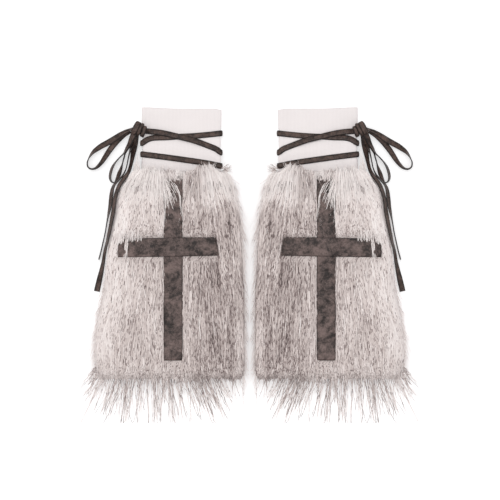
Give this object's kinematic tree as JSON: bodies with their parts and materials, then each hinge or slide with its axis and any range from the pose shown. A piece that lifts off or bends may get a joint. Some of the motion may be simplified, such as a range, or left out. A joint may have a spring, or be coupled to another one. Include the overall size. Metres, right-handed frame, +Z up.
{
  "type": "pair of fur leg warmers",
  "caption": "Pair of long-pile fur leg warmers laid flat, with plain knit cuffs, a leather cross on each front and a flat lace wound round each cuff and tied in a bow at its outer side.",
  "frame": {"origin": "on the floor, midway between the two leg warmers and midway along their whole length, loose hair included", "axes": "+X across the pair towards the right leg warmer, +Y along the legs towards the cuffs, +Z up from the floor through the two layers"},
  "size_m": [0.5812, 0.531, 0.0408],
  "materials": {
    "cuff_knit": "fine matte knit, double layer",
    "long_pile": "long soft pile, pale with dark brown-grey ticking",
    "cross_leather": "dark brown, worn and lightly marbled, satin",
    "lace_leather": "dark brown, smooth, satin"
  },
  "bodies": {
    "root": {"left_cuff_front": "cuff_knit", "left_cuff_back": "cuff_knit", "left_fur_front": "long_pile", "left_fur_back": "long_pile", "left_cross_upright": "cross_leather", "left_cross_bar": "cross_leather", "left_lace_front_upper": "lace_leather", "left_lace_front_diagonal": "lace_leather", "left_lace_front_lower": "lace_leather", "left_lace_back_middle": "lace_leather", "left_lace_back_rising": "lace_leather", "left_lace_back_upper": "lace_leather", "left_lace_knot": "lace_leather", "left_loop_large": "lace_leather", "left_loop_small": "lace_leather", "left_tail_short": "lace_leather", "left_tail_long": "lace_leather", "left_hem_hair_front": "long_pile", "left_hem_hair_back": "long_pile", "left_top_hair": "long_pile", "right_cuff_front": "cuff_knit", "right_cuff_back": "cuff_knit", "right_fur_front": "long_pile", "right_fur_back": "long_pile", "right_cross_upright": "cross_leather", "right_cross_bar": "cross_leather", "right_lace_front_upper": "lace_leather", "right_lace_front_diagonal": "lace_leather", "right_lace_front_lower": "lace_leather", "right_lace_back_middle": "lace_leather", "right_lace_back_rising": "lace_leather", "right_lace_back_upper": "lace_leather", "right_lace_knot": "lace_leather", "right_loop_large": "lace_leather", "right_loop_small": "lace_leather", "right_tail_short": "lace_leather", "right_tail_long": "lace_leather", "right_hem_hair_front": "long_pile", "right_hem_hair_back": "long_pile", "right_top_hair": "long_pile"}
  },
  "joints": []
}
